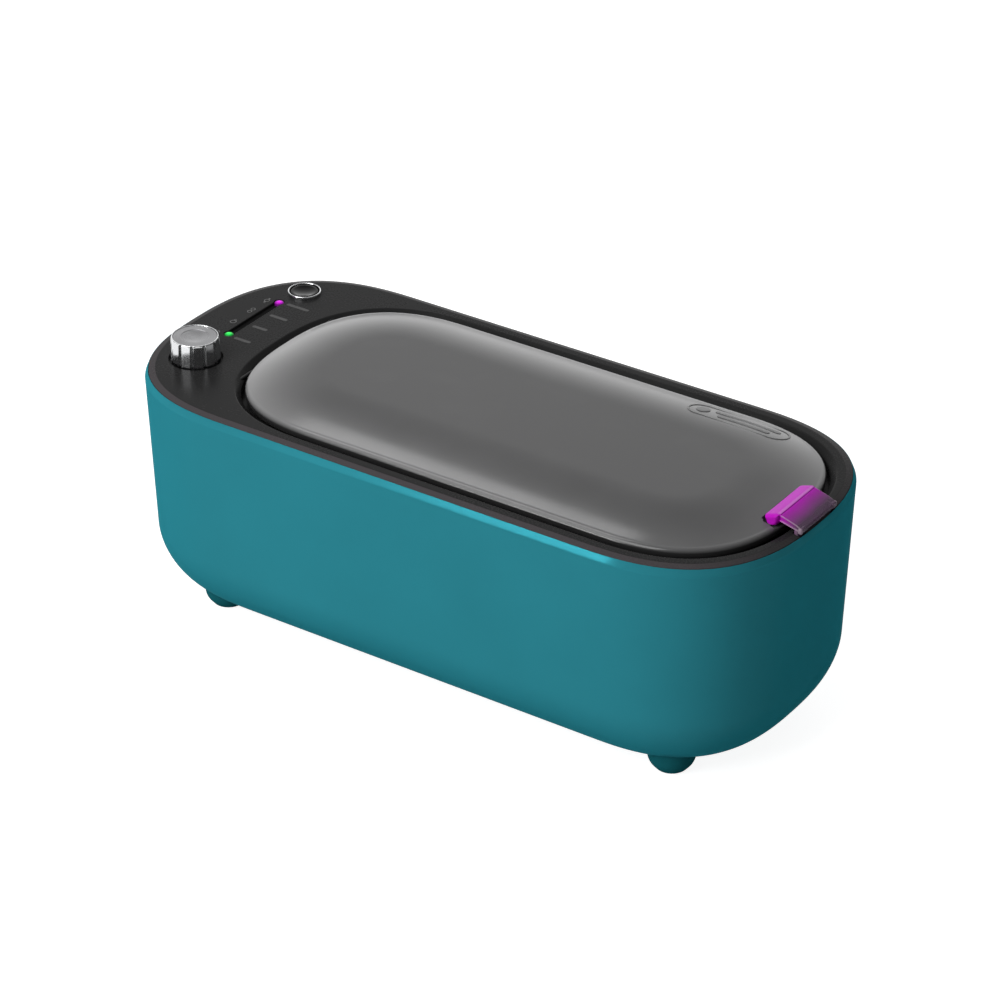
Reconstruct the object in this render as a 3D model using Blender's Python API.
"""Household ultrasonic cleaner: a drafted tub shell on four feet, a black top panel with a mode
knob, a power button and an indicator slot, a hinged smoked lid with a clear clasp, and inside
it the steel tank, its transducer and the driver electronics.

World frame: metres, +Z up, the ground at z = 0 under the middle of the body. +X runs along the
body from the controls to the clasp. The numbers below are millimetres, and MM turns them into
metres where a mesh is made.
"""

import math

import bmesh
import bpy
from mathutils import Matrix, Vector

MM = 0.001
GAP = 0.3  # between parts that bear on each other

# Body outline: straight sides with full-width superelliptic ends
BODY_HALF_LENGTH = 105.0
BODY_HALF_WIDTH = 46.65
BODY_POWER = 2.6
QUARTER = 8  # steps in each quarter of an end
RIM_Z = 73.4
CHAMFER_INSET = 0.5
CHAMFER_DROP = 2.0
DRAFT = 0.034
FLOOR_Z = 5.36
FILLET_HEIGHT = 18.9
FILLET_INSET = 15.5
FILLET_POWER = 1.86
WALL = 2.4
REBATE_INSET = 0.8  # inner face of the thin lip round the top panel
LEDGE_Z = 70.8
LEDGE_INSET = 3.3

# Lid outline, nearer the clasp end
LID_HALF_LENGTH = 85.1
LID_HALF_WIDTH = 38.7
LID_POWER = 2.53
LID_CENTRE_X = 12.6
LID_TOP_EDGE_Z = 74.8
LID_LAND_Z = 71.2
LID_RIM_RADIUS = 1.5
LID_WALL = 2.0
LID_LAND_INSET = 8.2
DOME_RISE = 3.4
DOME_RUN = 20.0
LID_AXIS = (-71.0, 0.0, 72.8)
LID_PIN_RADIUS = 0.6
LID_PIN_HALF_LENGTH = 28.0
SEAL_INSETS = (2.9, 5.5)
SEAL_Z = (70.1, 71.8)
PIN_PLAY = 0.25

# Top panel
PANEL_Z = 74.0
PANEL_THICKNESS = 2.4
PANEL_EDGE_INSET = REBATE_INSET + GAP
PANEL_BEVEL_INSET = 2.8
PANEL_BEVEL_Z = 73.3
OPENING_GAP = 1.0
OPENING_CHAMFER = 1.7
SHELF_Z = 69.8
SHELF_THICKNESS = 1.2
SHELF_INSET = 5.0  # inwards from the lid's outline
SKIRT_OUT = 3.6
SKIRT_IN = 5.0
SKIRT_Z = 64.0
POST_Z = 12.0
POST_RADIUS = 3.2
SPINDLE_HOLE_RADIUS = 3.6

# Controls
KNOB_AXIS = (-88.2, -20.1, 73.4)
KNOB_RADIUS = 7.1
KNOB_TOP_Z = 81.0
KNOB_FLUTES = 12
KNOB_CAP_RADIUS = 6.05
KNOB_RECESS_RADIUS = 7.8
KNOB_RECESS_Z = 73.0
BUTTON_AXIS = (-86.7, 29.5, 72.0)
BUTTON_RADIUS = 4.1
BUTTON_RING_RADIUS = 4.95
BUTTON_TOP_Z = 74.7
SLOT_X = -89.3
SLOT_GREEN_Y = -3.3
SLOT_MAGENTA_Y = 20.7
SLOT_HALF_WIDTH = 1.5
LIGHT_RADIUS = 1.3

# Clasp
CLASP_AXIS = (94.9, 0.0, 75.95)
CLASP_OPEN = 70.0  # degrees
CLASP_HALF_WIDTH = 10.0
PLATE_HALF_WIDTH = 9.0
CLASP_BARREL = 1.45
CLASP_RIDGE = (97.3, 78.3)  # x and z of the edge between the bar and the plate
CLASP_TIP_X = 104.35
PRONG_X = (101.7, 102.9)
PRONG_Y = (6.6, 8.8)
PRONG_Z = 72.2
NOTCH_PLAY = 0.4
LUG_Y = 6.0
LUG_HALF_WIDTH = 1.2
LUG_RADIUS = 1.1
CLASP_PIN_RADIUS = 0.5
CLASP_PIN_HALF_LENGTH = 8.7
POCKET_Z = CLASP_AXIS[2] - CLASP_BARREL - GAP
POCKET_X = 92.2

# Tank
TANK_INSET = 6.0  # inwards from the lid's outline
TANK_FLOOR_Z = 28.0
TANK_WALL = 0.8
TANK_DRAFT = 2.0
TANK_FILLET = 10.0
FLANGE_Z = 67.4
FLANGE_INSET = 0.5

# Boards, transducer, feet and inlet
BOARD_THICKNESS = 1.6
CONTROL_BOARD_Z = 66.0
DRIVER_BOARD_Z = 12.9
DRIVER_BOARD_X = (-62.0, -14.0)
DRIVER_BOARD_HALF_WIDTH = 27.0
STANDOFFS = ((-58.0, -23.0), (-58.0, 23.0), (-18.0, -23.0), (-18.0, 23.0))
PANEL_BOSSES = ((-95.5, 8.7), (-80.5, -30.5))
FEET = {
    "front_left": (-75.2, -25.7),
    "front_right": (76.5, -25.7),
    "rear_left": (-75.2, 25.7),
    "rear_right": (76.5, 25.7),
}
INLET_Z = 32.0
INLET_FACE_X = -102.7

PLASTIC = dict(metallic=0.0, roughness=0.4)
METAL = dict(metallic=1.0, roughness=0.3)


# ---------------------------------------------------------------- materials


def material(name, colour, metallic, roughness, alpha=1.0):
    made = bpy.data.materials.new(name)
    made.use_nodes = True
    shader = made.node_tree.nodes["Principled BSDF"]
    shader.inputs["Base Color"].default_value = (*colour, 1.0)
    shader.inputs["Metallic"].default_value = metallic
    shader.inputs["Roughness"].default_value = roughness
    shader.inputs["Alpha"].default_value = alpha
    return made


def make_materials():
    return {
        "teal_plastic": material("teal_plastic", (0.024, 0.212, 0.262), **PLASTIC),
        "black_plastic": material("black_plastic", (0.025, 0.025, 0.025), **PLASTIC),
        "smoked_lid": material("smoked_lid", (0.12, 0.12, 0.12), 0.0, 0.15, 0.8),
        "clasp_plastic": material("clasp_plastic", (0.58, 0.05, 0.65), 0.0, 0.1, 0.6),
        "chrome": material("chrome", (0.75, 0.75, 0.75), 1.0, 0.08),
        "brushed_cap": material("brushed_cap", (0.35, 0.35, 0.35), **METAL),
        "steel": material("steel", (0.55, 0.55, 0.55), **METAL),
        "tank_steel": material("tank_steel", (0.6, 0.6, 0.6), **METAL),
        "rubber": material("rubber", (0.02, 0.02, 0.02), 0.0, 0.8),
        "silicone": material("silicone", (0.35, 0.35, 0.35), 0.0, 0.6),
        "green_light": material("green_light", (0.03, 0.8, 0.1), 0.0, 0.2),
        "magenta_light": material("magenta_light", (0.65, 0.01, 0.72), 0.0, 0.2),
        "board": material("board", (0.02, 0.15, 0.05), 0.0, 0.5),
        "component": material("component", (0.03, 0.03, 0.03), 0.0, 0.5),
        "aluminium": material("aluminium", (0.6, 0.6, 0.6), 1.0, 0.4),
        "ceramic": material("ceramic", (0.55, 0.5, 0.4), 0.0, 0.6),
        "copper": material("copper", (0.7, 0.35, 0.15), 1.0, 0.3),
        "wire": material("wire", (0.4, 0.02, 0.02), 0.0, 0.5),
    }


# ---------------------------------------------------------------- outlines and solids


def outline(half_length, half_width, power, centre_x=0.0):
    """Anticlockwise points of a stadium whose ends are superelliptic quarters."""
    straight = half_length - half_width
    points = []
    for quadrant in range(4):
        side_x = 1 if quadrant in (0, 3) else -1
        side_y = 1 if quadrant in (0, 1) else -1
        steps = range(QUARTER + 1)
        if quadrant in (1, 3):
            steps = reversed(steps)
        for step in steps:
            turn = math.radians(90 * step / QUARTER)
            x = straight + half_width * abs(math.cos(turn)) ** (2 / power)
            y = half_width * abs(math.sin(turn)) ** (2 / power)
            point = (centre_x + side_x * x, side_y * y)
            if not points or math.dist(point, points[-1]) > 1e-6:
                points.append(point)
    if math.dist(points[0], points[-1]) < 1e-6:
        points.pop()
    return points


def body_ring(inset, z):
    points = outline(BODY_HALF_LENGTH - inset, BODY_HALF_WIDTH - inset, BODY_POWER)
    return [(x, y, z) for x, y in points]


def lid_ring(inset, z):
    points = outline(
        LID_HALF_LENGTH - inset, LID_HALF_WIDTH - inset, LID_POWER, LID_CENTRE_X
    )
    return [(x, y, z) for x, y in points]


def circle_ring(radius, z, sides, centre=(0.0, 0.0)):
    turns = (math.tau * (i + 0.5) / sides for i in range(sides))
    return [
        (centre[0] + radius * math.cos(t), centre[1] + radius * math.sin(t), z)
        for t in turns
    ]


def add_object(name, mesh, finish, origin=(0, 0, 0), parent=None):
    """Links a mesh made in world millimetres, with its origin moved to the given point."""
    mesh.transform(Matrix.Translation(-Vector(origin)))
    mesh.transform(Matrix.Scale(MM, 4))
    mesh.shade_smooth()
    mesh.set_sharp_from_angle(angle=math.radians(35))
    made = bpy.data.objects.new(name, mesh)
    if finish:
        made.data.materials.append(finish)
    bpy.context.collection.objects.link(made)
    place = Vector(origin) * MM
    if parent:
        made.parent = parent
        place -= world_place(parent)
    made.location = place
    return made


def world_place(held):
    place = held.location.copy()
    while held.parent:
        held = held.parent
        place += held.location
    return place


def loft_mesh(name, rings, closed=False):
    """Skins rings of equal length. The path climbs the outside of the solid; an open path gets
    a cap on each end ring, and a closed one joins the last ring to the first."""
    shape = bmesh.new()
    rows = [[shape.verts.new(point) for point in ring] for ring in rings]
    count = len(rows[0])
    pairs = list(zip(rows, rows[1:]))
    if closed:
        pairs.append((rows[-1], rows[0]))
    for lower, upper in pairs:
        for i in range(count):
            j = (i + 1) % count
            shape.faces.new((lower[i], lower[j], upper[j], upper[i]))
    if not closed:
        shape.faces.new(list(reversed(rows[0])))
        shape.faces.new(rows[-1])
    bmesh.ops.triangulate(shape, faces=[f for f in shape.faces if len(f.verts) > 4])
    mesh = bpy.data.meshes.new(name)
    shape.to_mesh(mesh)
    shape.free()
    return mesh


def loft(name, rings, finish, closed=False, **place):
    return add_object(name, loft_mesh(name, rings, closed), finish, **place)


def turned(name, profile, finish, centre=(0, 0, 0), axis="Z", sides=16, closed=False, **place):
    """A solid of revolution. The profile holds (radius, height) pairs along the axis."""
    mesh = loft_mesh(name, [circle_ring(r, h, sides) for r, h in profile], closed)
    if axis == "Y":
        mesh.transform(Matrix.Rotation(math.radians(-90), 4, "X"))
    if axis == "-X":
        mesh.transform(Matrix.Rotation(math.radians(-90), 4, "Y"))
    mesh.transform(Matrix.Translation(centre))
    return add_object(name, mesh, finish, **place)


def block(name, low, high, finish, bevel=0.0, **place):
    """A box between two corners, with its upright edges and top rounded off if asked."""
    shape = bmesh.new()
    bmesh.ops.create_cube(shape, size=1.0)
    size = Vector(high) - Vector(low)
    middle = (Vector(high) + Vector(low)) / 2
    bmesh.ops.scale(shape, vec=size, verts=shape.verts)
    bmesh.ops.translate(shape, vec=middle, verts=shape.verts)
    if bevel:
        bmesh.ops.bevel(
            shape, geom=shape.edges[:], offset=bevel, segments=1, affect="EDGES"
        )
    mesh = bpy.data.meshes.new(name)
    shape.to_mesh(mesh)
    shape.free()
    return add_object(name, mesh, finish, **place)


def prism(name, points, low_z, high_z, finish, **place):
    rings = [[(x, y, z) for x, y in points] for z in (low_z, high_z)]
    return loft(name, rings, finish, **place)


def side_prism(name, points, half_width, finish, **place):
    """A solid whose (x, z) outline, anticlockwise as seen from -Y, is extruded across Y."""
    rings = [[(x, y, z) for x, z in points] for y in (half_width, -half_width)]
    return loft(name, rings, finish, **place)


def as_tool(tool):
    tool.hide_render = True
    tool.hide_viewport = False
    tool.display_type = "WIRE"
    return tool


def combine(target, tool, operation):
    step = target.modifiers.new(operation.lower(), "BOOLEAN")
    step.operation = operation
    step.solver = "EXACT"
    step.object = as_tool(tool)


def cut(target, tool):
    combine(target, tool, "DIFFERENCE")


def join(target, tool):
    combine(target, tool, "UNION")


def rod_tool(name, centre, radius, low, high, axis="Z", sides=14):
    """A plain cylinder between two heights along its axis, for cutting or joining."""
    return turned(name, [(radius, low), (radius, high)], None, centre, axis, sides)


def empty_at(name, place, parent=None):
    made = bpy.data.objects.new(name, None)
    bpy.context.collection.objects.link(made)
    location = Vector(place) * MM
    if parent:
        made.parent = parent
        location -= world_place(parent)
    made.location = location
    return made


# ---------------------------------------------------------------- housing


def fillet_steps(low_z, height, inset_in, wall_inset, steps=5):
    """Insets and heights up the rounded lower edge, from the floor to the wall."""
    rows = []
    for step in range(steps, -1, -1):
        turn = math.radians(90 * step / steps)
        across = math.cos(turn) ** (2 / FILLET_POWER) if step < steps else 0.0
        up = math.sin(turn) ** (2 / FILLET_POWER)
        z = low_z + height * (1 - up)
        rows.append((wall_inset(z) + inset_in * (1 - across), z))
    return rows


def outer_inset(z):
    return DRAFT * (RIM_Z - CHAMFER_DROP - z)


def inner_inset(z):
    return outer_inset(z) + WALL


def shell_outside():
    rows = fillet_steps(FLOOR_Z, FILLET_HEIGHT, FILLET_INSET, outer_inset)
    return rows + [(0.0, RIM_Z - CHAMFER_DROP), (CHAMFER_INSET, RIM_Z)]


def make_outer_shell(finish):
    inside = fillet_steps(FLOOR_Z + WALL, FILLET_HEIGHT - 1, FILLET_INSET - 1, inner_inset)
    rim = [
        (REBATE_INSET, RIM_Z),
        (REBATE_INSET, LEDGE_Z),
        (LEDGE_INSET, LEDGE_Z),
        (LEDGE_INSET, SKIRT_Z - 2),
    ]
    rows = shell_outside() + rim + list(reversed(inside))
    shell = loft("outer_shell", [body_ring(*row) for row in rows], finish)
    for x, y in STANDOFFS:
        join(shell, rod_tool("standoff_tool", (x, y, 0), 2.8, FLOOR_Z + 1, DRIVER_BOARD_Z - GAP))
        cut(shell, rod_tool("standoff_bore", (x, y, 0), 1.5, 8.6, DRIVER_BOARD_Z + 1, sides=12))
    for x, y in FEET.values():
        by_controls = x < 0
        top = POST_Z - GAP if by_controls else 17.5
        join(shell, rod_tool("foot_boss", (x, y, 0), 3.5, FLOOR_Z + 1, top))
        bore_top = top + 1 if by_controls else 16.0
        cut(shell, rod_tool("foot_bore", (x, y, 0), 1.8, 0, bore_top, sides=12))
    cut(shell, rod_tool("inlet_hole", (0, 0, INLET_Z), 4.2, 96, 110, "-X"))
    cut(shell, rod_tool("inlet_seat", (0, 0, INLET_Z), 6.6, -INLET_FACE_X, 110, "-X", 24))
    return shell


def make_feet(finish, rubber, steel):
    """Turned feet whose tops are scribed to the rounded floor, each held by a screw from below
    and closed by a rubber pad."""
    below = [(inset - GAP, z - GAP) for inset, z in shell_outside()]
    for side, (x, y) in FEET.items():
        foot = turned(
            f"foot_{side}",
            [
                (3.95, 1.5),
                (3.95, 0.5),
                (4.35, 0.5),
                (5.2, 1.2),
                (6.4, 3.3),
                (6.9, 5.8),
                (6.9, 9.5),
                (1.8, 9.5),
                (1.8, 3.5),
                (3.1, 3.5),
                (3.1, 1.5),
            ],
            finish,
            (x, y, 0),
            sides=20,
            closed=True,
        )
        cut(foot, loft("floor_tool", [body_ring(*row) for row in below], None))
        turned(f"foot_pad_{side}", [(3.5, 0.0), (3.65, 0.2), (3.65, 1.2)], rubber, (x, y, 0))
        make_screw(f"foot_screw_{side}", (x, y, 1.6), 2.75, 1.6, 1.4, 12.6, steel)


def make_screw(name, foot_of_head, head_radius, head_height, shank, length, finish, up=1):
    """A pan-head screw along Z: up = 1 has its shank above its head."""
    rows = [
        (head_radius * 0.75, 0.0),
        (head_radius, head_height * 0.4),
        (head_radius, head_height),
        (shank, head_height),
        (shank, length - 0.8),
        (shank * 0.55, length),
    ]
    if up < 0:
        rows = [(r, -h) for r, h in reversed(rows)]
    turned(name, rows, finish, foot_of_head, sides=8)


def panel_rows():
    edge = [
        (SKIRT_OUT, SKIRT_Z),
        (SKIRT_OUT, LEDGE_Z + GAP),
        (PANEL_EDGE_INSET, LEDGE_Z + GAP),
        (PANEL_EDGE_INSET, PANEL_BEVEL_Z),
        (PANEL_BEVEL_INSET, PANEL_Z),
    ]
    opening = [
        (-OPENING_GAP - OPENING_CHAMFER, PANEL_Z),
        (-OPENING_GAP, PANEL_Z - OPENING_CHAMFER),
        (-OPENING_GAP, SHELF_Z),
        (SHELF_INSET, SHELF_Z),
        (SHELF_INSET, SHELF_Z - SHELF_THICKNESS),
        (-OPENING_GAP - 1.4, SHELF_Z - SHELF_THICKNESS),
        (-OPENING_GAP - 1.4, PANEL_Z - PANEL_THICKNESS),
    ]
    skirt = [(SKIRT_IN, PANEL_Z - PANEL_THICKNESS), (SKIRT_IN, SKIRT_Z)]
    return (
        [body_ring(*row) for row in edge]
        + [lid_ring(*row) for row in opening]
        + [body_ring(*row) for row in skirt]
    )


def make_top_panel(finish):
    panel = loft("top_panel", panel_rows(), finish, closed=True)
    for x, y in FEET.values():
        if x < 0:
            join(panel, rod_tool("post", (x, y, 0), POST_RADIUS, POST_Z, PANEL_Z - 1))
            cut(panel, rod_tool("post_bore", (x, y, 0), 1.7, POST_Z - 1, 22, sides=12))
    under = CONTROL_BOARD_Z + BOARD_THICKNESS + GAP
    for x, y in PANEL_BOSSES:
        join(panel, rod_tool("boss", (x, y, 0), 2.5, under, PANEL_Z - 1, sides=16))
        cut(panel, rod_tool("boss_bore", (x, y, 0), 1.3, under - 1, 71.0, sides=12))
    knob_x, knob_y, _ = KNOB_AXIS
    recess = (knob_x, knob_y, 0)
    cut(panel, rod_tool("recess", recess, KNOB_RECESS_RADIUS, KNOB_RECESS_Z, 80, sides=24))
    cut(panel, rod_tool("spindle_hole", recess, SPINDLE_HOLE_RADIUS, 60, 80))
    button_x, button_y, _ = BUTTON_AXIS
    button_hole = rod_tool(
        "button_hole", (button_x, button_y, 0), BUTTON_RADIUS + GAP, 60, 80, sides=20
    )
    cut(panel, button_hole)
    cut(panel, prism("slot_tool", slot_outline(SLOT_HALF_WIDTH), 60, 80, None))
    for side in (-1, 1):
        low_y, high_y = sorted(
            (side * (PRONG_Y[0] - NOTCH_PLAY), side * (PRONG_Y[1] + NOTCH_PLAY))
        )
        notch = block("notch", (PRONG_X[0] - NOTCH_PLAY, low_y, 70), (110, high_y, 80), None)
        cut(panel, notch)
    pin_x, _, pin_z = LID_AXIS
    bore_radius = LID_PIN_RADIUS + PIN_PLAY
    bore_half = LID_PIN_HALF_LENGTH + GAP
    cut(panel, rod_tool("pin_bore", (pin_x, 0, pin_z), bore_radius, -bore_half, bore_half, "Y", 12))
    return panel


def slot_outline(half_width, steps=8):
    """A slot with round ends about the two lights, anticlockwise."""
    points = []
    for centre_y, start in ((SLOT_MAGENTA_Y, 0), (SLOT_GREEN_Y, 180)):
        for step in range(steps + 1):
            turn = math.radians(start + 180 * step / steps)
            points.append(
                (SLOT_X + half_width * math.cos(turn), centre_y + half_width * math.sin(turn))
            )
    return points


# ---------------------------------------------------------------- lid and clasp


def dome_height(inset):
    along = min(1.0, (inset - LID_RIM_RADIUS) / DOME_RUN)
    return LID_TOP_EDGE_Z + DOME_RISE * (1 - (1 - along) ** 2.2)


def make_lid(parent, finish):
    """A shallow dome with a round rim, a flat land with a seal groove under its border, and a
    pocket at the clasp end."""
    radius = LID_RIM_RADIUS
    low_centre = LID_LAND_Z + radius
    high_centre = LID_TOP_EDGE_Z - radius
    rim = []
    for step in range(4):
        turn = math.radians(90 * step / 3)
        rim.append((radius * (1 - math.sin(turn)), low_centre - radius * math.cos(turn)))
    for step in range(4):
        turn = math.radians(90 * step / 3)
        rim.append((radius * (1 - math.cos(turn)), high_centre + radius * math.sin(turn)))
    dome = [(inset, dome_height(inset)) for inset in (4, 7, 11, 16, 21.5)]
    inside = [(inset, dome_height(inset) - LID_WALL) for inset in (21.5, 16, 11, LID_LAND_INSET)]
    groove = [
        (LID_LAND_INSET, LID_LAND_Z),
        (5.8, LID_LAND_Z),
        (5.8, LID_LAND_Z + 0.9),
        (2.6, LID_LAND_Z + 0.9),
        (2.6, LID_LAND_Z),
    ]
    outside_rows = [lid_ring(*row) for row in rim + dome]
    inside_rows = [lid_ring(*row) for row in inside + groove]
    lid = add_object(
        "lid", dome_mesh("lid", outside_rows, inside_rows), finish, LID_AXIS, parent
    )
    hinge_x, _, hinge_z = LID_AXIS
    bore_radius = LID_PIN_RADIUS + PIN_PLAY
    cut(lid, rod_tool("hinge_bore", (hinge_x, 0, hinge_z), bore_radius, -30, 30, "Y", 12))
    pocket_side = CLASP_HALF_WIDTH + 0.5
    pocket = block("pocket", (POCKET_X, -pocket_side, POCKET_Z), (120, pocket_side, 90), None)
    cut(lid, pocket)
    for side in (-1, 1):
        join(lid, clasp_lug(side * LUG_Y))
    pin_x, _, pin_z = CLASP_AXIS
    pin_bore = rod_tool(
        "clasp_pin_bore", (pin_x, 0, pin_z), CLASP_PIN_RADIUS + PIN_PLAY, -9, 9, "Y", 12
    )
    cut(lid, pin_bore)
    return lid


def dome_mesh(name, outside, inside):
    """Outside rings from the land up to the crown, then inside rings back down to the land. The
    last outside and first inside rings are closed by caps, and the land joins the two skins."""
    shape = bmesh.new()
    rows = [[shape.verts.new(point) for point in ring] for ring in outside + inside]
    count = len(rows[0])
    crown = len(outside) - 1
    for at, lower in enumerate(rows):
        if at == crown:
            continue
        upper = rows[(at + 1) % len(rows)]
        for i in range(count):
            j = (i + 1) % count
            shape.faces.new((lower[i], lower[j], upper[j], upper[i]))
    shape.faces.new(rows[crown])
    shape.faces.new(list(reversed(rows[crown + 1])))
    bmesh.ops.triangulate(shape, faces=[f for f in shape.faces if len(f.verts) > 4])
    mesh = bpy.data.meshes.new(name)
    shape.to_mesh(mesh)
    shape.free()
    return mesh


def clasp_lug(centre_y):
    """An upright ear that carries the clasp's pin."""
    axis_x, _, axis_z = CLASP_AXIS
    foot_z = POCKET_Z - 1
    points = [(axis_x - LUG_RADIUS, foot_z), (axis_x + LUG_RADIUS, foot_z)]
    for step in range(7):
        turn = math.radians(180 * step / 6)
        points.append(
            (axis_x + LUG_RADIUS * math.cos(turn), axis_z + LUG_RADIUS * math.sin(turn))
        )
    lug = side_prism("lug", points, LUG_HALF_WIDTH, None)
    lug.location.y = centre_y * MM
    return lug


def bar_ring(y, scale):
    """The bar's outline at one place across it, shrunk about its middle where its ends round
    off."""
    axis_x, _, axis_z = CLASP_AXIS
    low = axis_z - CLASP_BARREL
    ridge_x, ridge_z = CLASP_RIDGE
    points = [(axis_x + 1.0, low + 0.05), (ridge_x - 0.5, low + 0.5), (ridge_x, low + 1.6)]
    points += [(ridge_x, ridge_z), (ridge_x - 0.7, ridge_z - 0.05), (94.7, 77.65)]
    points += [(92.9, 77.05), (93.1, 76.4)]
    for step in range(5):
        turn = math.radians(175 + 95 * step / 4)
        points.append(
            (axis_x + CLASP_BARREL * math.cos(turn), axis_z + CLASP_BARREL * math.sin(turn))
        )
    middle_x, middle_z = 95.1, 76.0
    return [
        (middle_x + (x - middle_x) * scale, y, middle_z + (z - middle_z) * scale)
        for x, z in points
    ]


def plate_profile():
    """(x, z) outline of the plate, anticlockwise as seen from -Y."""
    ridge_x, ridge_z = CLASP_RIDGE
    tip_x = CLASP_TIP_X
    points = [(ridge_x - 1.0, ridge_z - 2.2), (ridge_x + 0.3, ridge_z - 2.2)]
    points += [(tip_x - 1.4, 74.8), (tip_x - 0.4, 74.4), (tip_x, 74.9), (tip_x, 75.7)]
    points += [(tip_x - 0.5, 76.35), (ridge_x + 0.6, ridge_z - 0.3), (ridge_x - 0.2, ridge_z - 0.1)]
    return points + [(ridge_x - 1.0, ridge_z - 0.4)]


def ear_room():
    """(x, z) outline of what an ear sweeps in the bar as the clasp opens."""
    axis_x, _, axis_z = CLASP_AXIS
    radius = LUG_RADIUS + GAP
    reach = 4
    back = math.radians(90 - CLASP_OPEN)
    points = [(radius, -reach), (radius, 0)]
    for step in range(1, 5):
        turn = (math.pi / 2 + back) * step / 4
        points.append((radius * math.cos(turn), radius * math.sin(turn)))
    last_x, last_z = points[-1]
    far_x = last_x - reach * math.cos(back)
    points += [(far_x, last_z - reach * math.sin(back)), (far_x, -reach)]
    return [(axis_x + x, axis_z + z) for x, z in points]


def make_clasp(parent, finish):
    """A bar that turns on its pin, a plate reaching over the panel's rim, and two prongs that
    drop into the rim's notches."""
    half = CLASP_HALF_WIDTH
    ends = ((half, 0.6), (half - 0.4, 0.85), (half - 1.2, 1.0))
    rings = [bar_ring(y, scale) for y, scale in ends]
    rings += [bar_ring(-y, scale) for y, scale in reversed(ends)]
    clasp = loft("clasp", rings, finish, origin=CLASP_AXIS, parent=parent)
    join(clasp, side_prism("plate", plate_profile(), PLATE_HALF_WIDTH, None))
    for side in (-1, 1):
        low_y, high_y = sorted((side * PRONG_Y[0], side * PRONG_Y[1]))
        prong = block(
            "prong", (PRONG_X[0], low_y, PRONG_Z), (PRONG_X[1], high_y, 75.6), None, 0.15
        )
        join(clasp, prong)
    for side in (-1, 1):
        room = side_prism("ear_room", ear_room(), LUG_HALF_WIDTH + GAP, None)
        room.location.y = side * LUG_Y * MM
        cut(clasp, room)
    axis_x, _, axis_z = CLASP_AXIS
    bore_radius = CLASP_PIN_RADIUS + PIN_PLAY
    cut(clasp, rod_tool("clasp_bore", (axis_x, 0, axis_z), bore_radius, -9, 9, "Y", 12))
    return clasp


# ---------------------------------------------------------------- controls


def knob_ring(radius, depth, z, per_flute=4):
    """A fluted circle: broad ribs with a narrow groove between them."""
    x, y, _ = KNOB_AXIS
    points = []
    count = KNOB_FLUTES * per_flute
    for i in range(count):
        turn = math.tau * i / count
        here = radius - (depth if i % per_flute == 0 else 0.0)
        points.append((x + here * math.cos(turn), y + here * math.sin(turn), z))
    return points


def make_knob(parent, chrome, cap, steel):
    x, y, low = KNOB_AXIS
    top = KNOB_TOP_Z
    rows = [
        (KNOB_RADIUS - 0.3, 0.5, low),
        (KNOB_RADIUS, 0.55, low + 0.3),
        (KNOB_RADIUS, 0.55, top - 0.5),
        (KNOB_RADIUS - 0.35, 0.2, top),
        (KNOB_CAP_RADIUS + GAP, 0.0, top),
        (KNOB_CAP_RADIUS + GAP, 0.0, top - 1.2),
    ]
    knob = loft("knob", [knob_ring(*row) for row in rows], chrome, origin=KNOB_AXIS, parent=parent)
    cut(knob, rod_tool("knob_bore", (x, y, 0), 2.7, low - 1, top - 2.4, sides=16))
    floor = top - 1.2 + GAP
    turned(
        "knob_cap",
        [
            (KNOB_CAP_RADIUS, floor),
            (KNOB_CAP_RADIUS, top - 0.15),
            (4.1, top - 0.15),
            (3.4, top - 0.5),
        ],
        cap,
        (x, y, 0),
        sides=20,
        origin=KNOB_AXIS,
        parent=parent,
    )
    turned(
        "knob_shaft",
        [(2.4, 68.6), (2.4, top - 2.7)],
        steel,
        (x, y, 0),
        sides=16,
        origin=KNOB_AXIS,
        parent=parent,
    )


def make_button(parent, black, chrome, plastic):
    x, y, low = BUTTON_AXIS
    turned(
        "power_button",
        [
            (1.6, low - 0.3),
            (1.6, low + 0.4),
            (BUTTON_RADIUS, low + 0.4),
            (BUTTON_RADIUS, BUTTON_TOP_Z - 0.25),
            (BUTTON_RADIUS - 0.3, BUTTON_TOP_Z),
            (1.5, BUTTON_TOP_Z - 0.35),
        ],
        black,
        (x, y, 0),
        sides=20,
        origin=BUTTON_AXIS,
        parent=parent,
    )
    turned(
        "switch_plunger",
        [(1.4, 68.95), (1.4, 71.4)],
        plastic,
        (x, y, 0),
        sides=12,
        origin=BUTTON_AXIS,
        parent=parent,
    )
    turned(
        "button_ring",
        [
            (BUTTON_RING_RADIUS, PANEL_Z + GAP),
            (BUTTON_RING_RADIUS, PANEL_Z + 0.6),
            (BUTTON_RING_RADIUS - 0.2, PANEL_Z + 0.95),
            (BUTTON_RADIUS + GAP + 0.15, PANEL_Z + 0.95),
            (BUTTON_RADIUS + GAP, PANEL_Z + 0.6),
            (BUTTON_RADIUS + GAP, PANEL_Z + GAP),
        ],
        chrome,
        (x, y, 0),
        sides=20,
        closed=True,
    )


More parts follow.
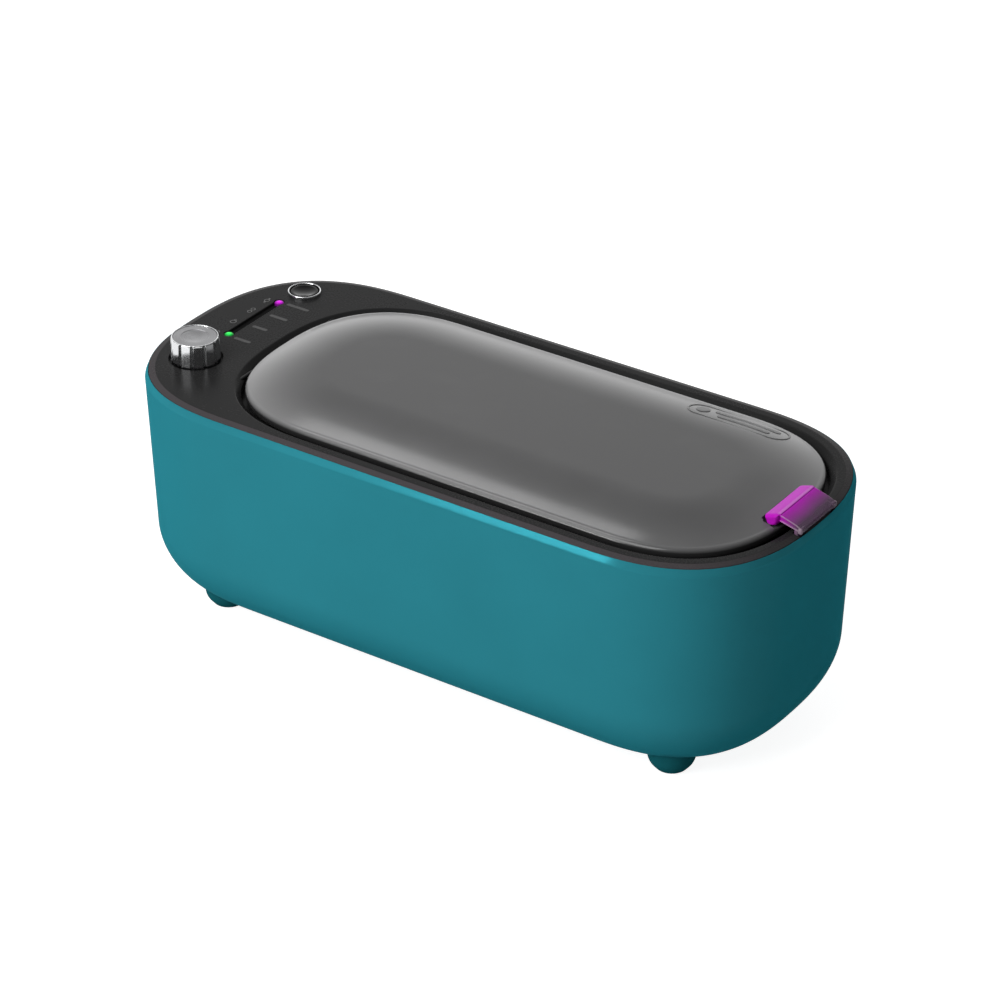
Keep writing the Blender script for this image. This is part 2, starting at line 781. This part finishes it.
def make_indicators(strip, green, magenta, chip):
    low_y, high_y = SLOT_GREEN_Y + 1.7, SLOT_MAGENTA_Y - 1.7
    block("light_strip", (SLOT_X - 1.2, low_y, 71.0), (SLOT_X + 1.2, high_y, PANEL_Z - 0.25), strip)
    chip_z = CONTROL_BOARD_Z + BOARD_THICKNESS + GAP
    for name, y, finish in (("green", SLOT_GREEN_Y, green), ("magenta", SLOT_MAGENTA_Y, magenta)):
        turned(
            f"{name}_light",
            [(LIGHT_RADIUS, 69.6), (LIGHT_RADIUS, PANEL_Z - 0.1), (0.6, PANEL_Z + 0.1)],
            finish,
            (SLOT_X, y, 0),
            sides=16,
        )
        block(f"{name}_led", (SLOT_X - 0.9, y - 0.9, chip_z), (SLOT_X + 0.9, y + 0.9, 69.2), chip)


def make_control_board(finish, component, steel):
    """The board follows the control end's outline, stopped short of the lid's opening."""
    flat_x = -77.0
    inset = 6.3
    points = [
        point
        for point in outline(BODY_HALF_LENGTH - inset, BODY_HALF_WIDTH - inset, BODY_POWER)
        if point[0] < flat_x
    ]
    edge_y = 35.0
    points = [(flat_x, edge_y)] + points + [(flat_x, -edge_y)]
    high = CONTROL_BOARD_Z + BOARD_THICKNESS
    board = prism("control_board", points, CONTROL_BOARD_Z, high, finish)
    for x, y in PANEL_BOSSES:
        cut(board, rod_tool("board_hole", (x, y, 0), 1.4, 60, 80, sides=12))
    for number, (x, y) in enumerate(PANEL_BOSSES, 1):
        place = (x, y, CONTROL_BOARD_Z - GAP - 1.2)
        make_screw(f"control_board_screw_{number}", place, 2.0, 1.2, 1.0, 5.9, steel)
    for post_x, post_y in FEET.values():
        if post_x < 0:
            cut(board, rod_tool("post_hole", (post_x, post_y, 0), POST_RADIUS + GAP, 60, 80))
    x, y, _ = KNOB_AXIS
    body = block(
        "rotary_switch",
        (x - 6, y - 6, high + GAP),
        (x + 6, y + 6, PANEL_Z - PANEL_THICKNESS - GAP),
        component,
        0.4,
    )
    cut(body, rod_tool("switch_bore", (x, y, 0), 2.7, 60, 80, sides=16))
    x, y, _ = BUTTON_AXIS
    tact = block(
        "button_switch", (x - 3.1, y - 3.1, high + GAP), (x + 3.1, y + 3.1, 70.5), component, 0.3
    )
    cut(tact, rod_tool("plunger_bore", (x, y, 0), 1.7, 60, 80, sides=12))


# ---------------------------------------------------------------- tank and transducer


def make_tank(finish, gasket_finish):
    inner = TANK_INSET
    low = TANK_FLOOR_Z

    def wall_inset(z):
        return inner + TANK_DRAFT * (FLANGE_Z - z) / (FLANGE_Z - low)

    steps = 5
    corner = []
    for step in range(steps + 1):
        turn = math.radians(90 * step / steps)
        corner.append((1 - math.cos(turn), 1 - math.sin(turn)))
    inside = []
    for across, down in corner:
        z = low + TANK_FILLET * down
        inside.append((wall_inset(z) + TANK_FILLET * across, z))
    outside = []
    for across, down in reversed(corner):
        radius = TANK_FILLET + TANK_WALL
        z = low - TANK_WALL + radius * down
        outside.append((wall_inset(z) - TANK_WALL + radius * across, z))
    under = FLANGE_Z - TANK_WALL
    flange = [
        (inner - TANK_WALL - 0.4, under),
        (FLANGE_INSET, under),
        (FLANGE_INSET, FLANGE_Z),
        (inner - 0.9, FLANGE_Z),
        (inner, FLANGE_Z - 0.9),
    ]
    loft("tank", [lid_ring(*row) for row in outside + flange + inside], finish)
    gasket_low = FLANGE_Z + GAP
    gasket_high = SHELF_Z - SHELF_THICKNESS - GAP
    rows = [(1.0, gasket_low), (1.0, gasket_high), (4.2, gasket_high), (4.2, gasket_low)]
    loft("tank_gasket", [lid_ring(*row) for row in rows], gasket_finish, closed=True)


def make_transducer(aluminium, ceramic, copper, steel):
    centre = (LID_CENTRE_X, 0, 0)
    under_tank = TANK_FLOOR_Z - TANK_WALL - GAP
    turned(
        "transducer_front_mass",
        [(4.3, 25.2), (4.3, 20.2), (15.0, 20.2), (15.0, 21.2), (19.0, under_tank)],
        aluminium,
        centre,
        sides=20,
    )

    def ring(name, outer, inner, low, high, finish):
        rows = [(outer, low), (outer, high), (inner, high), (inner, low)]
        return turned(name, rows, finish, centre, sides=18, closed=True)

    ring("piezo_ring_upper", 15.0, 5.5, 17.6, 19.9, ceramic)
    electrode = ring("transducer_electrode", 14.6, 5.5, 16.9, 17.3, copper)
    join(electrode, block("tab", (-5.0, -2.0, 16.9), (0.5, 2.0, 17.3), None))
    ring("piezo_ring_lower", 15.0, 5.5, 14.3, 16.6, ceramic)
    ring("transducer_back_mass", 15.0, 4.3, 10.8, 14.0, steel)
    turned(
        "transducer_bolt",
        [(5.2, 8.3), (6.2, 8.8), (6.2, 10.5), (4.0, 10.5), (4.0, 24.6), (3.4, 24.9)],
        steel,
        centre,
        sides=12,
    )


# ---------------------------------------------------------------- driver electronics


def make_driver(board_finish, component, aluminium, copper, steel):
    low_x, high_x = DRIVER_BOARD_X
    half = DRIVER_BOARD_HALF_WIDTH
    top = DRIVER_BOARD_Z + BOARD_THICKNESS
    board = block(
        "driver_board", (low_x, -half, DRIVER_BOARD_Z), (high_x, half, top), board_finish
    )
    for number, (x, y) in enumerate(STANDOFFS, 1):
        cut(board, rod_tool("board_hole", (x, y, 0), 1.5, 10, 20, sides=12))
        place = (x, y, top + GAP + 1.3)
        make_screw(f"driver_board_screw_{number}", place, 2.3, 1.3, 1.2, 6.7, steel, up=-1)
    seat = top + GAP
    core = block("transformer", (-52, -9, seat), (-32, 9, seat + 11), component, 0.8)
    join(core, block("winding", (-49.5, -12, seat + 1.5), (-34.5, 12, seat + 9.5), None, 1.5))
    turned(
        "capacitor",
        [(4.7, seat), (5.0, seat + 0.4), (5.0, seat + 10.4), (4.6, seat + 11)],
        component,
        (-24, 14, 0),
    )
    sink_low_x, sink_high_x, fins = -54.0, -33.0, 7
    sink = block(
        "heatsink", (sink_low_x, -22.5, seat), (sink_high_x, -13.5, seat + 10.5), aluminium
    )
    for number in range(1, fins):
        x = sink_low_x + (sink_high_x - sink_low_x) * number / fins
        gap_high = (x + 0.8, -15.5, seat + 12)
        cut(sink, block("fin_gap", (x - 0.8, -24, seat + 2.5), gap_high, None))
    turned(
        "choke",
        [(3.2, seat), (7.0, seat), (7.6, seat + 0.8), (7.6, seat + 5.2), (7.0, seat + 6)]
        + [(3.2, seat + 6), (2.6, seat + 5.2), (2.6, seat + 0.8)],
        copper,
        (-24, -12, 0),
        closed=True,
    )


def make_inlet(black, steel):
    """A round power socket screwed through the end wall, with its contact pin inside."""
    face = -INLET_FACE_X
    turned(
        "power_inlet",
        [
            (3.9, 88.0),
            (3.9, face + GAP),
            (6.2, face + GAP),
            (6.2, face + 1.0),
            (5.9, face + 1.3),
            (2.9, face + 1.3),
            (2.9, 93.0),
            (1.05, 93.0),
            (1.05, face - 0.2),
            (0.6, face + 0.3),
        ],
        black,
        (0, 0, INLET_Z),
        "-X",
    )
    nut_high = 100.5
    turned(
        "inlet_nut",
        [(6.2, 98.4), (6.2, nut_high), (4.25, nut_high), (4.25, 98.4)],
        steel,
        (0, 0, INLET_Z),
        "-X",
        12,
        True,
    )


def smooth_route(points, steps):
    """Points along a Catmull-Rom curve through the given ones."""
    held = [points[0]] + list(points) + [points[-1]]
    found = []
    for a, b, c, d in zip(held, held[1:], held[2:], held[3:]):
        a, b, c, d = map(Vector, (a, b, c, d))
        for step in range(steps):
            t = step / steps
            found.append(
                0.5
                * (
                    2 * b
                    + (c - a) * t
                    + (2 * a - 5 * b + 4 * c - d) * t * t
                    + (3 * b - a - 3 * c + d) * t**3
                )
            )
    found.append(Vector(points[-1]))
    return found


def make_lead(name, points, radius, finish):
    curve = bpy.data.curves.new(name, "CURVE")
    curve.dimensions = "3D"
    curve.bevel_depth = radius * MM
    curve.bevel_resolution = 2
    curve.use_fill_caps = True
    route = smooth_route(points, 3)
    spline = curve.splines.new("POLY")
    spline.points.add(len(route) - 1)
    for slot, place in zip(spline.points, route):
        slot.co = (*(place * MM), 1.0)
    curve.materials.append(finish)
    lead = bpy.data.objects.new(name, curve)
    bpy.context.collection.objects.link(lead)


def make_leads(finish):
    make_lead(
        "transducer_lead",
        [(-5.9, 0, 17.1), (-8.5, 1, 18.0), (-12, 3, 19.5), (-16.5, 4, 18.0), (-17.5, 4, 15.6)],
        0.7,
        finish,
    )
    make_lead(
        "inlet_lead",
        [(-87.3, 0, 32), (-83, 0, 31.5), (-77, -1, 27), (-70, -3, 20), (-64, -4, 17), (-59, -4, 15.8)],
        1.0,
        finish,
    )
    make_lead(
        "control_lead",
        [(-86, 6, 65.2), (-86, 6, 60), (-84, 6, 48), (-80, 6, 34), (-72, 6, 22), (-64, 6, 17.5)]
        + [(-58, 6, 15.8)],
        1.0,
        finish,
    )


# ---------------------------------------------------------------- assembly


def clear_scene():
    for old in list(bpy.data.objects):
        bpy.data.objects.remove(old, do_unlink=True)


def main():
    clear_scene()
    look = make_materials()
    make_outer_shell(look["teal_plastic"])
    make_feet(look["teal_plastic"], look["rubber"], look["steel"])
    make_top_panel(look["black_plastic"])
    make_tank(look["tank_steel"], look["silicone"])
    make_transducer(look["aluminium"], look["ceramic"], look["copper"], look["steel"])
    make_driver(look["board"], look["component"], look["aluminium"], look["copper"], look["steel"])
    make_inlet(look["black_plastic"], look["steel"])
    make_control_board(look["board"], look["component"], look["steel"])
    make_indicators(
        look["black_plastic"], look["green_light"], look["magenta_light"], look["component"]
    )
    make_leads(look["wire"])

    lid_hinge = empty_at("lid_hinge", LID_AXIS)
    make_lid(lid_hinge, look["smoked_lid"])
    seal_out, seal_in = SEAL_INSETS
    seal_low, seal_high = SEAL_Z
    seal = [(seal_out, seal_low), (seal_out, seal_high), (seal_in, seal_high), (seal_in, seal_low)]
    loft(
        "lid_seal",
        [lid_ring(*row) for row in seal],
        look["silicone"],
        closed=True,
        origin=LID_AXIS,
        parent=lid_hinge,
    )
    pin_x, _, pin_z = LID_AXIS
    half = LID_PIN_HALF_LENGTH
    turned(
        "lid_hinge_pin",
        [(LID_PIN_RADIUS, -half), (LID_PIN_RADIUS, half)],
        look["steel"],
        (pin_x, 0, pin_z),
        "Y",
        12,
    )

    clasp_hinge = empty_at("clasp_hinge", CLASP_AXIS, lid_hinge)
    make_clasp(clasp_hinge, look["clasp_plastic"])
    pin_x, _, pin_z = CLASP_AXIS
    half = CLASP_PIN_HALF_LENGTH
    turned(
        "clasp_pin",
        [(CLASP_PIN_RADIUS, -half), (CLASP_PIN_RADIUS, half)],
        look["steel"],
        (pin_x, 0, pin_z),
        "Y",
        12,
        origin=CLASP_AXIS,
        parent=lid_hinge,
    )

    knob_spindle = empty_at("knob_spindle", KNOB_AXIS)
    make_knob(knob_spindle, look["chrome"], look["brushed_cap"], look["steel"])
    button_slide = empty_at("button_slide", BUTTON_AXIS)
    make_button(button_slide, look["component"], look["chrome"], look["black_plastic"])


main()
